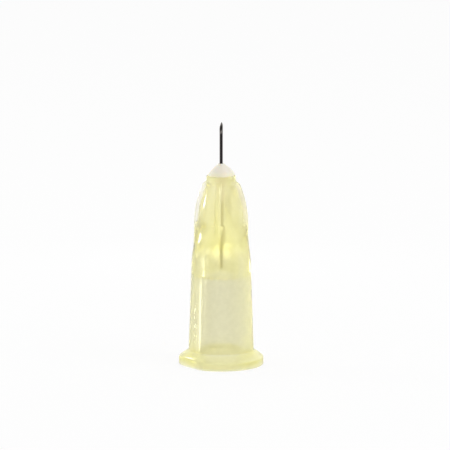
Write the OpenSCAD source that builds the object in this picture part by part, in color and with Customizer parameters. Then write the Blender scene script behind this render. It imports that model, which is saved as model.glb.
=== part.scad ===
// Fine short needle for skin injections, standing on the rim of its moulded hub.
// Three pieces: a clear yellow plastic hub, a ground steel tube and a bead of adhesive.
// Millimetres. Origin at the centre of the base rim, +Z up along the needle.
// The two lock lugs lie along X and the two flats of the rim face +Y and -Y.

/* [Rim and lock lugs] */
// Diameter over the two lock lugs
lug_d = 7.8; // [7.6:0.05:8]
// Width across the two flats of the rim
flats_w = 7; // [6.8:0.02:7.2]
// Rounding of the lug corners, seen from above
lug_corner_r = 0.5; // [0.3:0.1:1]
// Height of the lug crests above the base
crest_h = 0.75; // [0.6:0.05:0.9]
// Height at which the sloping flank of the lugs meets the barrel
flank_top = 1.35; // [1.2:0.05:1.6]
// Rounding of the rim's lower edge
rim_edge_r = 0.15; // [0.05:0.05:0.25]

/* [Barrel] */
// Outer diameter of the barrel at the base
barrel_foot_d = 6.1; // [5.9:0.02:6.2]
// Outer diameter of the barrel at its top
barrel_top_d = 5.44; // [5.3:0.02:5.6]
// Height of the barrel's top above the base
barrel_h = 9.9; // [9.4:0.1:10.4]
// Height of the shoulder that narrows the barrel to the upper body
shoulder_h = 1.6; // [1.2:0.1:2]

/* [Upper body] */
// Diameter of the upper body over its four ribs
upper_d = 5.02; // [4.8:0.02:5.1]
// Height of the straight part of the upper body
grip_h = 1.5; // [1.2:0.1:1.8]
// Height of the rounded crown
crown_h = 3.85; // [3.6:0.05:3.95]
// Radius of the crown's curve, seen from the side
crown_curve_r = 10; // [9.5:0.5:14]
// Height of the sloping lip between crown and neck
lip_h = 0.3; // [0.2:0.05:0.4]
// Diameter of the neck
neck_d = 2.7; // [2.6:0.02:2.8]
// Height of the neck
neck_h = 0.5; // [0.4:0.05:0.7]

/* [Ribs of the upper body] */
// Number of ribs
rib_count = 4; // [3:1:6]
// Width of a rib
rib_w = 0.5; // [0.3:0.05:0.8]
// How far a rib stands out of the recesses beside it
rib_h = 0.4; // [0.2:0.02:0.46]
// Height of a recess's lowest point above the foot of the straight part
recess_foot_h = 0.2; // [0.1:0.05:0.5]
// Radius of the round foot of a recess, seen face on
recess_foot_r = 1.6; // [1.6:0.05:1.9]
// Height of the ramp at the foot of a recess, from the foot of the straight part up
recess_ramp_h = 1.4; // [1:0.1:1.5]

/* [Passage through the hub] */
// Diameter of the cone socket at its mouth
socket_mouth_d = 4.3; // [4.27:0.005:4.315]
// Depth of the cone socket
socket_depth = 8.3; // [7.5:0.1:8.5]
// Taper of the socket on its diameter, 6 in 100
socket_taper = 0.06; // [0.055:0.001:0.065]
// Diameter of the flow chamber above the socket
chamber_d = 3.3; // [3:0.1:3.5]
// Height of the straight part of the chamber
chamber_h = 1.75; // [1.5:0.05:2]
// Height of the sloping edge of the chamber's ceiling
ceiling_h = 1.05; // [0.9:0.05:1.2]
// Diameter of the flat middle of the chamber's ceiling
ceiling_d = 1.9; // [1.6:0.1:2.2]
// Height of the tight guide round the tube
guide_h = 0.8; // [0.7:0.05:1]
// Diameter of the wider bore between the guide and the funnel
pocket_d = 0.5; // [0.4:0.02:0.6]
// Height of the wider bore
pocket_h = 4.6; // [4.4:0.05:4.8]
// Diameter of the funnel at the hub's nose
funnel_d = 1.2; // [1:0.05:1.6]

/* [Tube] */
// Outer diameter of the steel tube
tube_d = 0.31; // [0.298:0.001:0.32]
// Inner diameter of the steel tube
tube_bore_d = 0.16; // [0.133:0.001:0.19]
// Length of tube that stands out of the hub's nose
tube_reach = 4.95; // [4.5:0.05:6]
// Length of tube that stands down into the flow chamber
tube_tail = 2.1; // [1.2:0.1:2.7]
// Clearance round the tube in its guide
guide_gap = 0.01; // [0.005:0.001:0.02]

/* [Ground point] */
// Length of the main grind along the tube
grind_length = 1.07; // [0.9:0.01:1.3]
// Turn of each side grind about the tube, in degrees
side_grind_turn = 30; // [20:1:40]
// Angle between a side grind and the tube, in degrees
side_grind_angle = 22; // [20:0.5:26]
// Direction that the ground face looks in, counted from +X, in degrees
point_facing = -52; // [-180:1:180]

/* [Adhesive] */
// Diameter of the bead where it meets the hub's nose
bead_d = 2.52; // [2.3:0.02:2.58]
// Diameter of the bead where it ends on the tube
bead_tip_d = 0.54; // [0.4:0.02:0.7]
// Height of the bead above the hub's nose
bead_h = 1.1; // [0.9:0.05:1.3]
// Radius of the bead's bulging side, seen from the side
bead_curve_r = 2.6; // [2.2:0.1:6]
// Depth of the adhesive below the foot of the funnel
plug_tail = 1.3; // [0.5:0.1:2]

/* [Hidden] */
// Smoothness of the round parts
$fn = 96;
// Overshoot of a cut past the face that it opens
cut = 0.1;

// Heights along the hub, from the base up
shoulder_z = barrel_h + shoulder_h;
crown_z = shoulder_z + grip_h;
lip_z = crown_z + crown_h;
neck_z = lip_z + lip_h;
nose_z = neck_z + neck_h;

// Heights along the passage, from the base up
chamber_z = socket_depth;
ceiling_z = chamber_z + chamber_h;
guide_z = ceiling_z + ceiling_h;
pocket_z = guide_z + guide_h;
funnel_z = pocket_z + pocket_h;

// Radii
lug_r = lug_d / 2;
upper_r = upper_d / 2;
neck_r = neck_d / 2;
tube_r = tube_d / 2;
pocket_r = pocket_d / 2;
funnel_r = funnel_d / 2;
guide_r = tube_r + guide_gap;
barrel_foot_r = barrel_foot_d / 2;
barrel_top_r = barrel_top_d / 2;
flank_end_r = barrel_foot_r - (barrel_foot_r - barrel_top_r) * flank_top / barrel_h;
socket_mouth_r = socket_mouth_d / 2;
socket_end_r = socket_mouth_r - socket_depth * socket_taper / 2;
lip_foot_r = upper_r - arc_drop(crown_curve_r, crown_h);

// Tube ends and the angle of the main grind
tube_foot_z = guide_z - tube_tail;
tube_tip_z = nose_z + tube_reach;
grind_angle = atan2(tube_d, grind_length);

// How far an arc of radius r has fallen back from its tangent at distance h along it
function arc_drop(r, h) = r - sqrt(r * r - h * h);

// Centre of the circle of radius r that runs through points a and b, on the left of the way from a to b
function arc_centre(a, b, r) =
    let (way = b - a, half = norm(way) / 2, left = [-way.y, way.x] / norm(way))
    (a + b) / 2 + left * sqrt(r * r - half * half);

// A turned section from height z up, h high, that narrows from radius r1 to r2
module section(z, h, r1, r2) {
    translate([0, 0, z])
        cylinder(h = h, r1 = r1, r2 = r2);
}

// Outline of the rim from above: a disc with two flats and rounded corners
module rim_outline() {
    half_w = flats_w / 2;
    corner_y = half_w - lug_corner_r;
    corner_x = sqrt(pow(lug_r - lug_corner_r, 2) - corner_y * corner_y);
    reach = 1.1 * lug_r / corner_x;
    square([2 * corner_x, flats_w], center = true);
    for (x = [-corner_x, corner_x], y = [-corner_y, corner_y])
        translate([x, y])
            circle(r = lug_corner_r);
    intersection() {
        circle(r = lug_r);
        for (side = [-1, 1])
            polygon([[0, 0], [side * corner_x, -corner_y] * reach, [side * corner_x, corner_y] * reach]);
    }
}

// Turned form of the rim: rounded lower edge, upright crest and sloping flank
module rim_section() {
    run = lug_r - flank_end_r;
    inside_z = flank_top + cut * (flank_top - crest_h) / run;
    difference() {
        polygon([
            [0, 0],
            [lug_r, 0],
            [lug_r, crest_h],
            [flank_end_r - cut, inside_z],
            [0, inside_z]
        ]);
        translate([lug_r - rim_edge_r, 0])
            difference() {
                square(2 * rim_edge_r, center = true);
                translate([-rim_edge_r, rim_edge_r])
                    square(2 * rim_edge_r + cut, center = true);
                translate([0, rim_edge_r])
                    circle(r = rim_edge_r);
            }
    }
}

module rim() {
    intersection() {
        linear_extrude(height = barrel_h)
            rim_outline();
        rotate_extrude()
            rim_section();
    }
}

// Outline of a rounded crown that starts at radius r, under whatever outline is given as its limit
module crown_section(r) {
    intersection() {
        translate([r - crown_curve_r, crown_z])
            circle(r = crown_curve_r, $fn = 240);
        children();
    }
}

// The crown over the ribs, and the lip that slopes in from it to the neck
module crown() {
    slope = lip_h / (lip_foot_r - neck_r);
    rotate_extrude()
        crown_section(upper_r)
            polygon([
                [0, crown_z],
                [upper_r, crown_z],
                [upper_r, neck_z - (upper_r - neck_r) * slope],
                [neck_r, neck_z],
                [0, neck_z]
            ]);
}

// The upper body without its ribs: a ramp at the foot, then straight, then crowned until it meets the neck
module core() {
    core_r = upper_r - rib_h;
    section(shoulder_z, recess_ramp_h, upper_r, core_r);
    section(barrel_h, crown_z - barrel_h, core_r, core_r);
    rotate_extrude()
        crown_section(core_r)
            translate([0, crown_z])
                square([core_r, crown_h + lip_h]);
    section(crown_z, neck_z - crown_z, neck_r, neck_r);
}

// Slabs that keep the ribs, one between each two recesses
module ribs() {
    for (i = [0 : rib_count - 1])
        rotate([0, 0, 360 / rib_count * (i + 0.5)])
            translate([0, -rib_w / 2, barrel_h])
                cube([lug_r, rib_w, nose_z - barrel_h]);
}

// What is taken away between the ribs, with a round foot to each recess
module recesses() {
    foot_z = shoulder_z + recess_foot_h + recess_foot_r;
    difference() {
        for (i = [0 : rib_count - 1])
            rotate([90, 0, 90 + 360 / rib_count * i])
                linear_extrude(height = lug_r) {
                    translate([0, foot_z])
                        circle(r = recess_foot_r);
                    translate([-lug_r, foot_z])
                        square([lug_d, neck_z - foot_z]);
                }
        core();
        ribs();
    }
}

// Everything that is open inside the hub, from the mouth of the socket to the nose
module passage() {
    mouth_r = socket_mouth_r + cut * socket_taper / 2;
    rise = (funnel_r - pocket_r) / (nose_z - funnel_z);
    section(-cut, socket_depth + cut, mouth_r, socket_end_r);
    section(chamber_z - cut, chamber_h + cut, chamber_d / 2, chamber_d / 2);
    section(ceiling_z, ceiling_h, chamber_d / 2, ceiling_d / 2);
    section(guide_z - cut, guide_h + 2 * cut, guide_r, guide_r);
    section(pocket_z, pocket_h, pocket_r, pocket_r);
    section(funnel_z, nose_z - funnel_z + cut, pocket_r, funnel_r + cut * rise);
}

module hub() {
    color([0.93, 0.91, 0.68])
        difference() {
            union() {
                rim();
                section(0, barrel_h, barrel_foot_r, barrel_top_r);
                section(barrel_h, shoulder_h, barrel_top_r, upper_r);
                section(shoulder_z, grip_h, upper_r, upper_r);
                crown();
                section(neck_z, neck_h, neck_r, neck_r);
            }
            recesses();
            passage();
        }
}

// Half space above a plane that leans against the tube and runs through the tip
module grind(turn, angle) {
    block = 2 * grind_length;
    rotate([0, 0, turn])
        translate([-tube_r * cos(turn), 0, 0])
            rotate([0, -angle, 0])
                translate([0, -block / 2, -block])
                    cube([block, block, 2 * block]);
}

module cannula() {
    color([0.42, 0.42, 0.44])
        difference() {
            section(tube_foot_z, tube_tip_z - tube_foot_z, tube_r, tube_r);
            section(tube_foot_z - cut, tube_tip_z - tube_foot_z + 2 * cut, tube_bore_d / 2, tube_bore_d / 2);
            translate([0, 0, tube_tip_z])
                rotate([0, 0, point_facing]) {
                    grind(0, grind_angle);
                    grind(side_grind_turn, side_grind_angle);
                    grind(-side_grind_turn, side_grind_angle);
                }
        }
}

// Bead above the nose: a cone with a bulging side
module bead() {
    foot = [bead_d / 2, nose_z];
    tip = [bead_tip_d / 2, nose_z + bead_h];
    rotate_extrude()
        intersection() {
            translate(arc_centre(foot, tip, bead_curve_r))
                circle(r = bead_curve_r, $fn = 240);
            translate([0, nose_z])
                square([bead_d, bead_h]);
        }
}

module adhesive() {
    plug_z = funnel_z - plug_tail;
    color([0.93, 0.91, 0.86])
        difference() {
            union() {
                bead();
                section(funnel_z, nose_z - funnel_z, pocket_r, funnel_r);
                section(plug_z, plug_tail, pocket_r, pocket_r);
            }
            section(plug_z - cut, tube_tip_z - plug_z, tube_r, tube_r);
        }
}

hub();
cannula();
adhesive();
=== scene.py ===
# %% [markdown]
# # A fine injection needle in a clear yellow hub
# The needle stands on the rim of its moulded hub, with its point up.
# It has three pieces: the hub, the steel tube and the bead of adhesive that holds the tube.
# All the sizes below are in millimetres, and each mesh is turned into metres when it is made.

# %% Load the frame
import math
import bpy
import numpy as np
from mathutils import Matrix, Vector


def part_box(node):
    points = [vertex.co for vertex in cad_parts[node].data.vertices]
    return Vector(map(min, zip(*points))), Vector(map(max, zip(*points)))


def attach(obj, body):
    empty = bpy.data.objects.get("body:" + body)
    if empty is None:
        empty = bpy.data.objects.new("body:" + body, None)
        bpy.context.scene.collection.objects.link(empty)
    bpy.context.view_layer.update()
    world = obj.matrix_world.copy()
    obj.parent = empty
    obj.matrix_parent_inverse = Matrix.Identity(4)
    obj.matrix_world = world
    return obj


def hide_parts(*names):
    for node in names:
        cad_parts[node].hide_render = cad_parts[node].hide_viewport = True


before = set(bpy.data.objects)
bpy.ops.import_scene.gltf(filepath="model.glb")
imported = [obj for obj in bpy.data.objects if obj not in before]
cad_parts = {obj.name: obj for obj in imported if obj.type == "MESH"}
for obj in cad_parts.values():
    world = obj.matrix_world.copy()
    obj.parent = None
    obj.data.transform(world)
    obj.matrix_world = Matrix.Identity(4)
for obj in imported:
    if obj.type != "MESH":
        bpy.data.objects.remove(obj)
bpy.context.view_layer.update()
MM = 0.001
hub_low, hub_high = (np.array(corner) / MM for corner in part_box("hub"))
tube_low, tube_high = (np.array(corner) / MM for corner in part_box("cannula"))
bead_low, bead_high = (np.array(corner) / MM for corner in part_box("adhesive"))
print("hub from", hub_low.round(3), "to", hub_high.round(3))

# %% [markdown]
# ## Helpers for surfaces
# Every piece here is a ring-shaped solid: it goes round the axis, and its cut section is a closed outline.
# So each one is a grid that closes on itself both ways, with no seam and no pole.

# %% A closed grid as a mesh
def closed_grid(name, points, sharp_deg):
    """Mesh of a grid of points that wraps both ways, with a crease where it bends by over sharp_deg.

    points has the shape (stations along the section, steps round the axis, 3), in millimetres.
    Each face joins four neighbours. The sign of the enclosed volume, the sum of a . (b x c) / 6
    over the triangles, says whether the faces look inwards, and they are turned round if they do.
    """
    rows, cols = points.shape[:2]
    i, j = np.meshgrid(np.arange(rows), np.arange(cols), indexing="ij")
    here, right = i * cols + j, i * cols + (j + 1) % cols
    up, both = (i + 1) % rows * cols + j, (i + 1) % rows * cols + (j + 1) % cols
    quads = np.stack([here, right, both, up], axis=-1).reshape(-1, 4)
    flat = points.reshape(-1, 3) * MM
    a, b, c, d = (flat[quads[:, k]] for k in range(4))
    volume = (np.cross(b, c) * a).sum() / 6 + (np.cross(c, d) * a).sum() / 6
    if volume < 0:
        quads = quads[:, ::-1]
    mesh = bpy.data.meshes.new(name)
    mesh.from_pydata(flat, [], quads)
    mesh.shade_smooth()
    mesh.set_sharp_from_angle(angle=math.radians(sharp_deg))
    piece = bpy.data.objects.new(name, mesh)
    bpy.context.scene.collection.objects.link(piece)
    print(f"{name}: {2 * len(quads)} triangles, {abs(volume) * 1e9:.2f} mm3")
    return piece


def mark(piece, name, share, shape):
    """Store a share from 0 to 1 on every point of a piece's grid, for its finish to read."""
    layer = piece.data.attributes.new(name, "FLOAT", "POINT")
    layer.data.foreach_set("value", np.broadcast_to(share, shape).astype(np.float32).ravel())

# %% [markdown]
# Moulded plastic has no knife edges: every corner of the tool leaves a small rounding.
# The outline is therefore a list of corners, each with the length of its rounding.

# %% Outlines with rounded corners
ROUNDING_POINTS = 7


def rounded_outline(corners, step):
    """Points (radius, height) along a closed outline with rounded corners.

    Each corner is (radius, height, rounding). A rounding starts and ends that far from the
    corner p, at a and b, and follows the curve (1-t)^2 a + 2(1-t)t p + t^2 b. The straight
    stretches between them are cut into equal parts no longer than step.
    """
    spots = np.array([corner[:2] for corner in corners], float)
    lengths = np.array([corner[2] for corner in corners], float)[:, None]
    back = np.roll(spots, 1, axis=0) - spots
    ahead = np.roll(spots, -1, axis=0) - spots
    starts = spots + back / np.linalg.norm(back, axis=1, keepdims=True) * lengths
    ends = spots + ahead / np.linalg.norm(ahead, axis=1, keepdims=True) * lengths
    runs = []
    for k, spot in enumerate(spots):
        t = np.linspace(0, 1, ROUNDING_POINTS if lengths[k, 0] > 0 else 1)[:, None]
        runs.append((1 - t) ** 2 * starts[k] + 2 * (1 - t) * t * spot + t ** 2 * ends[k])
        gap = starts[(k + 1) % len(spots)] - ends[k]
        parts = max(1, math.ceil(np.linalg.norm(gap) / step))
        runs.append(ends[k] + gap * np.linspace(0, 1, parts + 1)[1:-1, None])
    return np.concatenate(runs)


def around(steps):
    """The angles of a full turn about the axis, from 0 up to the last step before 360 degrees."""
    return np.arange(steps) * 2 * np.pi / steps


def turned(outline, radius, angle):
    """Grid of points: radius at each height of the outline, carried round the axis by angle."""
    height = np.broadcast_to(outline[:, 1:2], radius.shape)
    return np.stack([radius * np.cos(angle), radius * np.sin(angle), height], axis=-1)

# %% [markdown]
# ## The hub
# The real hub is one injection moulding. Outside it is a turned form with two changes:
# two flats on the rim, which leave the lock lugs, and four recesses higher up, which leave
# narrow ribs for a cap to grip. A boolean cut would leave knife edges, so the surface is a
# radius at each height and angle instead, and the changes are smooth functions of both.

# %% Sizes of the hub
HUB_STEPS, HUB_SPACING = 256, 0.12
LUG_R = hub_high[0]
FLATS_W = hub_high[1] - hub_low[1]
NOSE_Z = hub_high[2]
CREST_H, FLANK_TOP, FLANK_END_R = 0.75, 1.35, 3.006
BARREL_TOP_R, BARREL_H = 2.72, 9.9
UPPER_R, SHOULDER_Z, CROWN_Z, LIP_Z, NECK_Z = 2.51, 11.5, 13.0, 16.85, 17.15
CROWN_CURVE_R, NECK_R = 10.0, 1.35
RIB_COUNT, RIB_W, RIB_H = 4, 0.5, 0.4
RECESS_FOOT_Z, RECESS_FOOT_R, RECESS_RAMP_H = 13.3, 1.6, 1.4
RIB_EDGE, FOOT_SOFTNESS = 0.24, 0.2
NICK_TURN, NICK_SPREAD, NICK_Z, NICK_HEIGHT = math.radians(270), math.radians(5), 4.0, 1.7
SOCKET_MOUTH_R, SOCKET_END_R, SOCKET_DEPTH = 2.15, 1.901, 8.3
CHAMBER_R, CEILING_Z, CEILING_R, GUIDE_Z, GUIDE_R = 1.65, 10.05, 0.95, 11.1, 0.165
POCKET_R, POCKET_Z, FUNNEL_Z, FUNNEL_R = 0.25, 11.9, 16.5, 0.60
BEAD_R, PLUG_Z = 1.26, bead_low[2]
print(f"hub: {NOSE_Z:.2f} mm high, {2 * LUG_R:.2f} mm over the lugs, {FLATS_W:.2f} mm over the flats")

# %% [markdown]
# Where two forms meet, the surface takes the smaller radius of the two, with a rounded change.
# The crown of the hub follows the arc of a large circle.

# %% Smooth minimum and the crown's curve
def smooth_min(a, b, blend):
    """The smaller of a and b, with a rounded change from one to the other.

    With h = (1 + (b - a) / blend) / 2 kept between 0 and 1, it is b + (a - b) h - blend h (1 - h).
    """
    h = np.clip(0.5 + 0.5 * (b - a) / blend, 0, 1)
    return b + (a - b) * h - blend * h * (1 - h)


def crown_drop(height):
    """How far the crown's arc has fallen back at a height: R - sqrt(R^2 - (height over its foot)^2)."""
    rise = np.clip(height - CROWN_Z, 0, NECK_Z - CROWN_Z)
    return CROWN_CURVE_R - np.sqrt(CROWN_CURVE_R ** 2 - rise ** 2)

# %% [markdown]
# The outline goes up the outside from the rim to the nose, and down the inside through the funnel,
# the narrow bore, the guide, the flow chamber and the socket. Each corner is (radius, height, rounding).

# %% Outline of the hub, once round its wall
CROWN_CORNERS, CROWN_ROUNDING = 7, 0.15
NOSE_MARGIN, BASE_MARGIN = 0.1, 0.15
crown_heights = np.linspace(CROWN_Z, LIP_Z, CROWN_CORNERS + 2)[1:-1]
crown_corners = [(UPPER_R - crown_drop(z), z, CROWN_ROUNDING) for z in crown_heights]
outside = [
    (LUG_R, 0.0, 0.13), (LUG_R, CREST_H, 0.14), (FLANK_END_R, FLANK_TOP, 0.06),
    (BARREL_TOP_R, BARREL_H, 0.5), (UPPER_R, SHOULDER_Z, 0.5), (UPPER_R, CROWN_Z, 0.2),
    *crown_corners, (UPPER_R - crown_drop(LIP_Z), LIP_Z, 0.14),
    (NECK_R, NECK_Z, 0.12), (NECK_R, NOSE_Z, 0.06),
]
inside = [
    (FUNNEL_R, NOSE_Z, 0.04), (POCKET_R, FUNNEL_Z, 0.15), (POCKET_R, POCKET_Z, 0.04),
    (GUIDE_R, POCKET_Z, 0.03), (GUIDE_R, GUIDE_Z, 0.03), (CEILING_R, GUIDE_Z, 0.1),
    (CHAMBER_R, CEILING_Z, 0.12), (CHAMBER_R, SOCKET_DEPTH, 0.12),
    (SOCKET_END_R, SOCKET_DEPTH, 0.12), (SOCKET_MOUTH_R, 0.0, 0.12),
]
hub_outline = rounded_outline(outside + inside, step=HUB_SPACING)
hub_turn = around(HUB_STEPS)
outline_r = hub_outline[:, :1]
outline_z = hub_outline[:, 1:]
nose_start = np.argmax(outline_r[:, 0] < NECK_R - NOSE_MARGIN)
before_nose = np.arange(len(hub_outline))[:, None] < nose_start
outer_part = before_nose | (outline_r > SOCKET_MOUTH_R + BASE_MARGIN)
print("hub outline:", len(hub_outline), "points,", int(outer_part.sum()), "of them outside")

# %% [markdown]
# The rim is round but for two flats, which face +Y and -Y and leave the lock lugs along X.

# %% Flats of the rim
FLAT_BLEND = 0.35
LEAST_COSINE = 0.05


def flat_reach(distance, angle, count, first):
    """Radius at which the nearest of count flats lies.

    It is the flat's distance from the axis / cos(angle to the flat's middle).
    """
    spread = 2 * np.pi / count
    away = (angle - first + spread / 2) % spread - spread / 2
    return distance / np.maximum(np.cos(away), LEAST_COSINE)


rim_flats = flat_reach(FLATS_W / 2, hub_turn, 2, np.pi / 2)
full_round = np.broadcast_to(outline_r, (len(outline_r), len(hub_turn)))
hub_radius = smooth_min(full_round, rim_flats, FLAT_BLEND)
print("least radius of the rim:", hub_radius[outline_r[:, 0] > FLATS_W / 2].min().round(3), "mm")

# %% [markdown]
# The four recesses start with a round foot above the shoulder and run up into the neck.
# What stays between them are narrow ribs, on which a cap would grip.

# %% Recesses between the ribs
RAMP_BLEND = 0.9


def soft_step(value, width):
    """0 below -width / 2, 1 above width / 2, and 3t^2 - 2t^3 between them."""
    t = np.clip(value / width + 0.5, 0, 1)
    return t * t * (3 - 2 * t)


def recessed(radius, height, angle):
    """Radius of the surface with the recesses between the ribs taken off.

    Face on, a recess is a band with a round foot: its edge runs along the ribs' sides, at
    rib width / 2 from the middle of a rib, and round a circle about the foot's centre. Inside
    that edge the radius goes to that of the core: a ramp at the foot, then the crown's curve
    less the rib height, which ends in the neck. A soft step of the distance rounds the change.
    """
    spread = 2 * np.pi / RIB_COUNT
    away = (angle + spread / 2) % spread - spread / 2
    rib_side = radius * np.sin(spread / 2 - np.abs(away)) - RIB_W / 2
    below = np.minimum(height - RECESS_FOOT_Z, 0)
    foot = (RECESS_FOOT_R - np.hypot(radius * np.sin(away), below)) * FOOT_SOFTNESS
    inside = np.where(below < 0, np.minimum(rib_side, foot), rib_side)
    climb = smooth_min((height - SHOULDER_Z) / RECESS_RAMP_H, 1, RAMP_BLEND)
    core = np.maximum(UPPER_R - RIB_H * climb - crown_drop(height), NECK_R)
    return radius + np.minimum(core - radius, 0) * soft_step(inside, RIB_EDGE) * (height < NECK_Z)


hub_radius = recessed(hub_radius, outline_z, hub_turn)
hub_radius = np.where(outer_part, hub_radius, outline_r)
hub_points = turned(hub_outline, hub_radius, hub_turn)
hub = closed_grid("hub_moulding", hub_points, sharp_deg=60)

# %% [markdown]
# The finish differs over the hub, so every point stores how far it belongs to the rim, the socket,
# the flow chamber, the face that the adhesive wets, and the fine white spots low on the barrel.

# %% Marks on the hub
RIM_FADE, NICK_FADE = 0.3, 0.6
nick_reach = np.hypot((hub_turn - NICK_TURN) / NICK_SPREAD, (outline_z - NICK_Z) / NICK_HEIGHT)
hub_marks = {
    "bonded": (outline_z > GUIDE_Z) & (outline_r < BEAD_R) & ~outer_part,
    "rim": soft_step(FLANK_TOP - outline_z, RIM_FADE) * outer_part,
    "nicked": soft_step(1 - nick_reach, NICK_FADE) * outer_part,
    "socket": (outline_z < SOCKET_DEPTH) & ~outer_part,
    "chamber": (outline_z >= SOCKET_DEPTH) & (outline_z <= GUIDE_Z) & ~outer_part,
}
for mark_name, marked_part in hub_marks.items():
    mark(hub, mark_name, marked_part, hub_radius.shape)
print("marks on the hub:", ", ".join(hub_marks))

# %% [markdown]
# ## The steel tube
# A needle tube is drawn, cut, and ground three times: one long slope, then one on each side of the point.
# Each grind is a plane through the tip, so the top of the wall is the lowest of three plane heights.

# %% Sizes of the tube
TUBE_STEPS, SIDE_STATIONS, TOP_STATIONS = 192, 60, 4
TUBE_R = (tube_high[0] - tube_low[0]) / 2
TUBE_BORE_R = 0.08
TUBE_FOOT_Z, TIP_Z = tube_low[2], tube_high[2]
GRIND_LENGTH, SIDE_TURN, SIDE_ANGLE = 1.07, math.radians(30), math.radians(22)
POINT_FACING = math.radians(-52)
SIDE_SLOPE = math.tan(SIDE_ANGLE)
GRINDS = [(0, 2 * TUBE_R / GRIND_LENGTH), (SIDE_TURN, SIDE_SLOPE), (-SIDE_TURN, SIDE_SLOPE)]
print(f"tube: {2 * TUBE_R:.3f} mm thick, from {TUBE_FOOT_Z:.2f} to {TIP_Z:.2f} mm, {len(GRINDS)} grinds")

# %% Height of the ground end
def ground_height(radius, angle):
    """Height of the ground end over the point (radius, angle).

    With x' the distance towards the side that a grind faces, its plane is
    tip - (x' + R cos turn) / tan(grind angle). The lowest of the three planes counts.
    """
    heights = []
    for turn, slope in GRINDS:
        forward = radius * np.cos(angle - POINT_FACING - turn)
        heights.append(TIP_Z - (forward + TUBE_R * math.cos(turn)) / slope)
    return np.minimum.reduce(heights)

# %% [markdown]
# The grid of the tube goes up its outside, over the ground end, down the bore and across the foot.

# %% Make the tube
tube_turn = around(TUBE_STEPS)
share = np.linspace(0, 1, SIDE_STATIONS)[:, None]
across = np.linspace(0, 1, TOP_STATIONS + 2)[1:-1, None]
top_out, top_in = ground_height(TUBE_R, tube_turn), ground_height(TUBE_BORE_R, tube_turn)
wall_r = TUBE_R + (TUBE_BORE_R - TUBE_R) * across
tube_r = np.concatenate([0 * share + TUBE_R, wall_r, 0 * share + TUBE_BORE_R, wall_r[::-1]])
tube_z = np.concatenate([
    TUBE_FOOT_Z + (top_out - TUBE_FOOT_Z) * share,
    ground_height(wall_r, tube_turn),
    top_in + (TUBE_FOOT_Z - top_in) * share,
    0 * wall_r[::-1] + TUBE_FOOT_Z + 0 * tube_turn,
])
tube_grid = np.stack([tube_r * np.cos(tube_turn), tube_r * np.sin(tube_turn), tube_z], axis=-1)
cannula = closed_grid("steel_tube", tube_grid, sharp_deg=15)
station = np.arange(len(tube_z))[:, None]
mark(cannula, "ground", (station >= len(share) - 1) & (station <= len(share) + len(wall_r)), tube_z.shape)

# %% [markdown]
# ## The bead of adhesive
# The adhesive is dripped into the funnel, creeps down round the tube, and cures as a soft-edged cone.
# It is a little lopsided, because it set while it was still running. It laps a hair into the
# tube and the hub, so that no gap shows between them.

# %% Sizes of the bead
BEAD_STEPS, BEAD_SPACING = 160, 0.08
BEAD_TIP_R, BEAD_TOP_Z = 0.27, bead_high[2]
BONDED = 0.006
BULGE, BULGE_LOWERED = 0.14, 1.15
LEAN, LEAN_TURN, WAVE = 0.05, 0.9, 0.025
AXIS_MARGIN, SINK_FADE = 0.2, 0.3
print(f"bead: from {PLUG_Z:.2f} to {BEAD_TOP_Z:.2f} mm, {2 * BEAD_R:.2f} mm wide at the nose")


def bead_corner(fallen):
    """Corner on the bead's side: fallen is 0 at its top and 1 at the nose of the hub.

    The radius is that of a straight cone and a bulge of sin(pi fallen^k), k a little over 1.
    """
    cone = BEAD_TIP_R + (BEAD_R - BEAD_TIP_R) * fallen
    bulge = BULGE * math.sin(math.pi * fallen ** BULGE_LOWERED)
    return cone + bulge, BEAD_TOP_Z + (NOSE_Z - BEAD_TOP_Z) * fallen, 0.05

# %% Make the bead
bead_outline = rounded_outline([
    (TUBE_R - BONDED, PLUG_Z, 0.0), (TUBE_R - BONDED, BEAD_TOP_Z, 0.0),
    (BEAD_TIP_R, BEAD_TOP_Z, 0.06), *map(bead_corner, (0.2, 0.4, 0.6, 0.8)),
    (BEAD_R, NOSE_Z + 0.02, 0.03), (BEAD_R - 0.05, NOSE_Z - BONDED, 0.02),
    (FUNNEL_R + BONDED, NOSE_Z - BONDED, 0.0), (POCKET_R + BONDED, FUNNEL_Z, 0.15),
    (POCKET_R + BONDED, PLUG_Z, 0.04),
], step=BEAD_SPACING)
bead_turn = around(BEAD_STEPS)
bead_r, bead_z = bead_outline[:, :1], bead_outline[:, 1:]
risen = np.clip((bead_z - NOSE_Z) / (BEAD_TOP_Z - NOSE_Z), 0, 1)
bead_lean = np.sin(np.pi * risen) * (bead_r > AXIS_MARGIN)
wobble = 1 + bead_lean * (LEAN * np.cos(bead_turn - LEAN_TURN) + WAVE * np.sin(3 * bead_turn))
bead = closed_grid("adhesive_bead", turned(bead_outline, bead_r * wobble, bead_turn), sharp_deg=60)
mark(bead, "sunk", np.clip((NOSE_Z - bead_z) / SINK_FADE, 0, 1), wobble.shape)

# %% [markdown]
# ## Helpers for finishes
# Shader sums read like arithmetic here: a Value stands for an output socket, and +, -, * and /
# between Values and numbers add the Math node that works it out. A Finish makes all other nodes.

# %% Shader maths
class Value:
    """An output socket that takes part in arithmetic."""

    def __init__(self, finish, socket):
        self.finish, self.socket = finish, socket

    def maths(self, operation, first, second):
        """The Value that a Math node gives for two Values or numbers."""
        return self.finish.node("ShaderNodeMath", {"operation": operation}, {0: first, 1: second})

    def __add__(self, other):
        return self.maths("ADD", self, other)

    def __sub__(self, other):
        return self.maths("SUBTRACT", self, other)

    def __mul__(self, other):
        return self.maths("MULTIPLY", self, other)

    def __truediv__(self, other):
        return self.maths("DIVIDE", self, other)

    def __rsub__(self, other):
        return self.maths("SUBTRACT", other, self)

    def __rtruediv__(self, other):
        return self.maths("DIVIDE", other, self)

    __radd__, __rmul__ = __add__, __mul__


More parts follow.
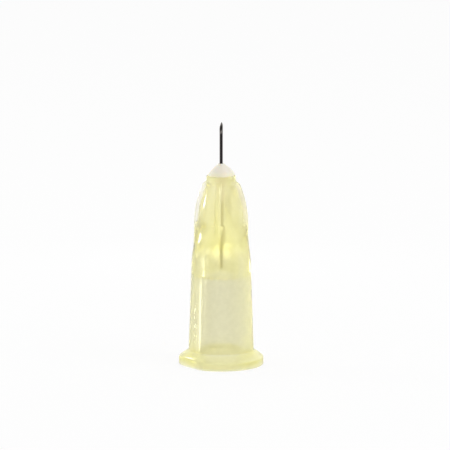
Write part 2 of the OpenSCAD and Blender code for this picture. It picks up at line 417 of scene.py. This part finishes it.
class Finish:
    """The nodes of a material or a world, under construction."""

    def __init__(self, owner):
        self.owner = owner
        owner.use_nodes = True
        self.tree = owner.node_tree
        self.tree.nodes.clear()

    def node(self, kind, settings=None, inputs=None, output=0):
        """Add a node, apply its settings, fill its inputs with numbers or links, and give one output."""
        made = self.tree.nodes.new(kind)
        for key, setting in (settings or {}).items():
            setattr(made, key, setting)
        for key, given in (inputs or {}).items():
            if isinstance(given, Value):
                self.tree.links.new(given.socket, made.inputs[key])
            else:
                made.inputs[key].default_value = given
        return Value(self, made.outputs[output])

    def noise(self, scale, detail=2.0, where=None):
        """Cloudy noise from 0 to 1, with scale spots to a metre, fixed to the piece or read at where."""
        where = where or self.node("ShaderNodeTexCoord", output="Object")
        inputs = {"Vector": where, "Scale": scale, "Detail": detail}
        return self.node("ShaderNodeTexNoise", {}, inputs, "Fac")

    def marked(self, name):
        """The share that was stored under a name on the points of the piece."""
        return self.node("ShaderNodeAttribute", {"attribute_name": name}, output="Fac")

    def height(self):
        """Height above the floor in millimetres."""
        place = self.node("ShaderNodeTexCoord", output="Object")
        return self.node("ShaderNodeSeparateXYZ", {}, {"Vector": place}, "Z") / MM

    def step(self, value, start, end):
        """Smooth step of a value: 0 at start, 1 at end."""
        limits = {"Value": value, "From Min": start, "From Max": end}
        return self.node("ShaderNodeMapRange", {"interpolation_type": "SMOOTHSTEP"}, limits)

    def blend(self, share, first, second):
        """Mix two colours: share 0 gives the first, 1 the second."""
        return self.node("ShaderNodeMix", {"data_type": "RGBA"}, {0: share, 6: first, 7: second}, 2)

    def mixed(self, share, first, second):
        """Mix two surfaces: share 0 gives the first, 1 the second."""
        return self.node("ShaderNodeMixShader", {}, {0: share, 1: first, 2: second})

    def bump(self, height, distance):
        """Normal of a surface that stands out by height (0 to 1) times distance in metres."""
        return self.node("ShaderNodeBump", {}, {"Height": height, "Distance": distance}, "Normal")

    def rays(self):
        """Three switches for kinds of rays.

        The first is 1 for every ray that looks at things: from the camera, mirrored, or through
        a clear surface. The second is 1 only for mirrored ones, the third for those that came through.
        """
        kinds = ("Is Camera Ray", "Is Glossy Ray", "Is Transmission Ray")
        seen, sharp, passed = (self.node("ShaderNodeLightPath", output=kind) for kind in kinds)
        clamped = {"operation": "ADD", "use_clamp": True}
        looking = self.node("ShaderNodeMath", clamped, {0: seen + sharp, 1: passed})
        return looking, sharp * (1.0 - passed), passed

    def output(self, surface, volume=None, kind="ShaderNodeOutputMaterial"):
        """Join the surface, and a volume if there is one, to the output, and give the finished owner."""
        made = self.tree.nodes.new(kind)
        self.tree.links.new(surface.socket, made.inputs["Surface"])
        if volume:
            self.tree.links.new(volume.socket, made.inputs["Volume"])
        return self.owner


def linear(red, green, blue):
    """A screen colour of 0 to 255 as the linear colour that a shader takes."""
    levels = np.array([red, green, blue]) / 255
    low, high = levels / 12.92, ((levels + 0.055) / 1.055) ** 2.4
    return (*np.where(levels <= 0.04045, low, high), 1.0)

# %% [markdown]
# ## Clear yellow plastic
# Much of the hub's colour comes from light lost on its way through the plastic, blue light most.
# That is why thin walls look pale and solid stretches look yellow. The surface tint adds to it zone
# by zone: grey in the socket, which is painted shade of the hollow, darker yellow in the flow chamber,
# yellower at the rim, a little darker from 12.5 mm up and yellower at the neck. Apart from that tint
# the surface only bends and mirrors light, and a small share of it is scattered, which gives the
# plastic its milky haze.
# Low on the barrel a few fine spots are raised a little and white. Where the adhesive wets the wall, it
# shows no surface.

# %% Make the plastic
PLASTIC_IOR, HAZE_IOR = 1.49, 1.12
SKIN_SHARE, WHITE_SPOT_COVER = 0.12, 0.8
PLASTIC_RELIEF = 0.00004
LIGHT_LOSS = 200.0


def clear_plastic():
    """Material of the hub: clear and hazy plastic mixed, tinted zone by zone with painted shade in the
    socket, and white spots on it.
    """
    finish = Finish(bpy.data.materials.new("clear_yellow_plastic"))
    cloud = finish.noise(2200.0, 3.0)
    sag = finish.noise(420.0, 1.0)
    grain = finish.noise(9000.0, 2.0)
    socket, rim, chamber, nicked = map(finish.marked, ("socket", "rim", "chamber", "nicked"))
    nicks = finish.step(finish.noise(5000.0, 1.0), 0.56, 0.68) * nicked
    normal = finish.bump(sag * 0.5 + grain * 0.008 + nicks * 0.3, PLASTIC_RELIEF)
    upper = finish.step(finish.height(), 10.5, 12.5)
    tint = finish.blend(cloud, (1.0, 0.998, 0.975, 1), (0.99, 0.985, 0.95, 1))
    # Grey in the socket: painted shade of the hollow.
    tint = finish.blend(socket, tint, (0.80, 0.79, 0.76, 1))
    tint = finish.blend(chamber, tint, (0.86, 0.84, 0.62, 1))
    tint = finish.blend(rim, tint, (0.965, 0.95, 0.64, 1))
    tint = finish.blend(finish.step(finish.height(), 12.5, 14.5), tint, (0.955, 0.945, 0.92, 1))
    tint = finish.blend(finish.step(finish.height(), 16.5, 17.1), tint, (0.935, 0.925, 0.75, 1))
    clear = finish.node("ShaderNodeBsdfPrincipled", {}, {
        "Base Color": tint, "Roughness": cloud * 0.03 + 0.04 + socket * 0.04 + chamber * 0.12,
        "IOR": PLASTIC_IOR, "Transmission Weight": 1.0, "Normal": normal,
    })
    haze = finish.node("ShaderNodeBsdfPrincipled", {}, {
        "Base Color": tint, "Roughness": cloud * 0.1 + 0.65,
        "IOR": HAZE_IOR, "Transmission Weight": 1.0, "Normal": normal,
    })
    skin = finish.node("ShaderNodeBsdfDiffuse", {}, {"Color": linear(248, 243, 200), "Normal": normal})
    white_spots = finish.node("ShaderNodeBsdfDiffuse", {}, {"Color": linear(252, 252, 245), "Normal": normal})
    milky_share = cloud * 0.05 + rim * 0.08 + upper * 0.18 + 0.27
    moulded = finish.mixed(milky_share, clear, finish.mixed(SKIN_SHARE, haze, skin))
    moulded = finish.mixed(nicks * WHITE_SPOT_COVER, moulded, white_spots)
    wetted = finish.node("ShaderNodeBsdfTransparent", {}, {"Color": (1, 1, 1, 1)})
    surface = finish.mixed(finish.marked("bonded"), moulded, wetted)
    loss = {"Color": (0.92, 0.87, 0.05, 1), "Density": LIGHT_LOSS}
    return finish.output(surface, finish.node("ShaderNodeVolumeAbsorption", {}, loss))


hub.data.materials.append(clear_plastic())
print("plastic made:", len(hub.active_material.node_tree.nodes), "nodes")

# %% [markdown]
# ## Ground steel
# The tube is drawn, so its fine scratches run lengthways. The ground faces are rougher.
# In the photograph the bare tube mirrors dark surroundings and reads nearly black. Inside the hub
# it is sheltered from them and looks lighter.
# The steel colour is painted to match: darkened where the tube is bare, a painted reflection of those dark
# surroundings, and lighter inside the hub, painted light.

# %% Make the steel
ALONG_TUBE = (1.0, 1.0, 0.04)
STEEL_RELIEF = 0.000002


def needle_steel():
    """Material of the tube: metal with lengthways streaks, and a rougher ground end."""
    finish = Finish(bpy.data.materials.new("needle_steel"))
    place = finish.node("ShaderNodeTexCoord", output="Object")
    stretched = finish.node("ShaderNodeMapping", {}, {"Vector": place, "Scale": ALONG_TUBE})
    drawn = finish.noise(60000.0, 3.0, stretched)
    ground_share = finish.marked("ground")
    # Painted light: from a little above the nose downwards, the tube's colour turns lighter.
    painted_light_in_hub = finish.step(finish.height(), float(NOSE_Z) + 0.8, float(NOSE_Z) + 0.2)
    stain = finish.noise(2500.0, 2.0)
    # Painted reflection: the bare tube's colour is dark, and the drawn streaks vary it.
    tube_colour = finish.blend(drawn, linear(122, 116, 115), linear(144, 138, 137))
    tube_colour = finish.blend(painted_light_in_hub, tube_colour, linear(210, 205, 184))
    ground_colour = finish.blend(stain, linear(86, 82, 80), linear(126, 122, 118))
    steel = finish.node("ShaderNodeBsdfPrincipled", {}, {
        "Base Color": finish.blend(ground_share, tube_colour, ground_colour),
        "Metallic": 1.0, "Roughness": drawn * 0.05 + 0.05 + ground_share * 0.2,
        "Normal": finish.bump(drawn, STEEL_RELIEF),
    })
    return finish.output(steel)


cannula.data.materials.append(needle_steel())
print("steel made:", len(cannula.active_material.node_tree.nodes), "nodes")

# %% [markdown]
# ## Cured adhesive
# The adhesive is milky, and a little yellower low down: painted light, where the hub shines through it.
# The part that is sunk in the hub gives off a soft light. It stands for the light that scatters
# in the milk there, most of which a renderer loses on its way out through the plastic.

# %% Make the adhesive
MILK_DEPTH = 0.0004
GLOW_LEVEL = 0.85
ADHESIVE_RELIEF = 0.00001


def cured_adhesive():
    """Material of the bead: milky above the hub, and a glowing soft mass where it is sunk in it."""
    finish = Finish(bpy.data.materials.new("cured_adhesive"))
    cloud = finish.noise(1500.0, 3.0)
    milk = finish.blend(cloud, linear(242, 237, 221), linear(234, 228, 213))
    # Painted light: the milk turns yellower towards the nose, where the hub shines through it.
    painted_hub_light = finish.step(finish.height(), float(NOSE_Z) + 0.55, float(NOSE_Z)) * 0.7
    milky = finish.node("ShaderNodeBsdfPrincipled", {}, {
        "Base Color": finish.blend(painted_hub_light, milk, linear(245, 239, 205)),
        "Roughness": cloud * 0.15 + 0.3, "IOR": 1.5,
        "Subsurface Weight": 0.6, "Subsurface Radius": (1.0, 0.8, 0.6), "Subsurface Scale": MILK_DEPTH,
        "Normal": finish.bump(cloud + 0.3 * finish.noise(6000.0), ADHESIVE_RELIEF),
    })
    soft = finish.node("ShaderNodeBsdfPrincipled", {}, {
        "Base Color": linear(252, 247, 228), "Roughness": 0.85, "IOR": 1.08, "Transmission Weight": 1.0,
    })
    glow = finish.node("ShaderNodeEmission", {}, {"Color": linear(252, 244, 205), "Strength": GLOW_LEVEL})
    plug = finish.mixed(cloud * 0.1 + 0.75, soft, glow)
    return finish.output(finish.mixed(finish.marked("sunk"), milky, plug))


bead.data.materials.append(cured_adhesive())
print("adhesive made:", len(bead.active_material.node_tree.nodes), "nodes")

# %% [markdown]
# ## Pieces in the frame
# Nothing moves, so all three pieces ride on the one body and take the place of its plain solids.

# %% Seat the pieces in the frame
for piece, node in [(hub, "hub"), (cannula, "cannula"), (bead, "adhesive")]:
    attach(piece, "root")
    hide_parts(node)

# %% [markdown]
# ## Camera, floor and light
# The photograph looks at the needle from a little above and from afar. One lock lug is turned a
# little to the right, and the flat beside it to the left. The needle's axis and the middle of its
# base lie at a known column and row of the picture, which is that many pixels to the millimetre.

# %% Camera
PHOTO_SIZE, PHOTO_SCALE = 450, 10.86
AXIS_X, BASE_Y = 221.2, 363.8
SENSOR_WIDTH = 36.0
VIEW_TURN, VIEW_LIFT, VIEW_DISTANCE = math.radians(55), math.radians(10.5), 700.0
level_sight = np.array([math.sin(VIEW_TURN), -math.cos(VIEW_TURN), 0])
sight = level_sight * math.cos(VIEW_LIFT) + np.array([0, 0, math.sin(VIEW_LIFT)])
right = np.array([math.cos(VIEW_TURN), math.sin(VIEW_TURN), 0])
up = np.cross(sight, right)
target = right * (PHOTO_SIZE / 2 - AXIS_X) / PHOTO_SCALE
target_z = (BASE_Y - PHOTO_SIZE / 2) / (PHOTO_SCALE * math.cos(VIEW_LIFT))
target = target + np.array([0, 0, target_z])
eye = (target + sight * VIEW_DISTANCE) * MM
camera_data = bpy.data.cameras.new("camera")
camera_data.sensor_width = SENSOR_WIDTH
camera_data.lens = SENSOR_WIDTH * VIEW_DISTANCE * PHOTO_SCALE / PHOTO_SIZE
camera_data.clip_start, camera_data.clip_end = 0.01, 10.0
camera = bpy.data.objects.new("camera", camera_data)
pose = np.eye(4)
pose[:3, 0], pose[:3, 1], pose[:3, 2], pose[:3, 3] = right, up, sight, eye
camera.matrix_world = pose.T.tolist()
bpy.context.scene.collection.objects.link(camera)
bpy.context.scene.camera = camera
bpy.context.scene.view_settings.view_transform = "Standard"
print("camera lens", round(camera_data.lens, 1), "mm at", eye.round(4))

# %% [markdown]
# The floor is a smooth white sheet. To the camera it is plain white, and it still takes shadows.
# Two more things about it show in the photograph. Light that leaves the plastic finds a faint
# mirror in it, so the lamps show again low down, as the white streak in the wall of the socket.
# And what the steel mirrors of it gets dark towards the viewer, where the studio is dark.

# %% Floor
FLOOR_HALF = 400.0
WHITE_SHARE, SHEEN_SHARE, DARK_REACH = 0.9, 0.35, 30.0


def plain_floor():
    """Material of the floor: white to every ray that looks at it, and lit as usual for the rest."""
    finish = Finish(bpy.data.materials.new("plain_floor"))
    looking, mirrored, passed = finish.rays()
    white = finish.node("ShaderNodeEmission", {}, {"Color": (1, 1, 1, 1), "Strength": 1.0})
    black = finish.node("ShaderNodeEmission", {}, {"Color": (0, 0, 0, 1), "Strength": 0.0})
    sheen = finish.node("ShaderNodeBsdfGlossy", {}, {"Color": (1, 1, 1, 1), "Roughness": 0.05})
    lit = finish.node("ShaderNodeBsdfDiffuse", {}, {"Color": (0.9, 0.9, 0.9, 1)})
    place = finish.node("ShaderNodeTexCoord", output="Object")
    along = {0: place, 1: level_sight}
    ahead = finish.node("ShaderNodeVectorMath", {"operation": "DOT_PRODUCT"}, along, "Value")
    dark = finish.step(ahead / MM, 0.0, DARK_REACH) * mirrored
    white = finish.mixed(passed * SHEEN_SHARE, finish.mixed(dark, white, black), sheen)
    return finish.output(finish.mixed(looking * WHITE_SHARE, lit, white))


floor_mesh = bpy.data.meshes.new("floor")
corners = np.array([(-1, -1, 0), (1, -1, 0), (1, 1, 0), (-1, 1, 0)]) * FLOOR_HALF * MM
floor_mesh.from_pydata(corners, [], [(0, 1, 2, 3)])
floor_mesh.materials.append(plain_floor())
floor = bpy.data.objects.new("floor", floor_mesh)
bpy.context.scene.collection.objects.link(floor)
print("floor:", 2 * FLOOR_HALF, "mm square")

# %% [markdown]
# The room is an even white. It lights the needle at a plain level, and rays that look at it see
# full white, which is the white ground of the photograph.

# %% World
PLAIN_LEVEL = 0.7


def studio():
    """World of an even light: plain level on the needle, strength 1 for rays that look at it."""
    finish = Finish(bpy.data.worlds.new("studio"))
    strength = finish.rays()[0] * (1 - PLAIN_LEVEL) + PLAIN_LEVEL
    backdrop = finish.node("ShaderNodeBackground", {}, {"Color": (1, 1, 1, 1), "Strength": strength})
    return finish.output(backdrop, kind="ShaderNodeOutputWorld")


bpy.context.scene.world = studio()
print("world:", bpy.context.scene.world.name, "at level", PLAIN_LEVEL)

# %% [markdown]
# Three soft boxes stand round the needle. The left one is low, and shows as the streak in the wall
# of the socket. A fourth, small and weak, stands close behind the needle and gives the glints at
# the ceiling of the flow chamber.

# %% Lamps
LAMP_AIM = 11


def soft_lamp(name, turn_deg, lift_deg, distance, size, watts):
    """An area lamp that faces the middle of the needle from a distance.

    It is placed by its turn from the camera, positive to the right of the picture, and its lift.
    """
    turn, lift = VIEW_TURN + math.radians(turn_deg), math.radians(lift_deg)
    away = np.array([math.sin(turn) * math.cos(lift), -math.cos(turn) * math.cos(lift), math.sin(lift)])
    side = np.array([math.cos(turn), math.sin(turn), 0])
    data = bpy.data.lights.new(name, "AREA")
    data.shape, data.size, data.size_y, data.energy = "RECTANGLE", size[0] * MM, size[1] * MM, watts
    lamp = bpy.data.objects.new(name, data)
    stand = np.eye(4)
    stand[:3, 0], stand[:3, 1], stand[:3, 2] = side, np.cross(away, side), away
    stand[:3, 3] = (away * distance + [0, 0, LAMP_AIM]) * MM
    lamp.matrix_world = stand.T.tolist()
    bpy.context.scene.collection.objects.link(lamp)
    print(f"{name}: {size[0]} by {size[1]} mm, {distance} mm away, {watts} W")


soft_lamp("left box", -110, 7, 230, (36, 36), 0.16)
soft_lamp("right box", 60, 40, 240, (140, 140), 0.14)
soft_lamp("top box", 170, 65, 240, (160, 160), 0.06)
soft_lamp("back box", -178, 7, 61, (18, 4), 0.0012)
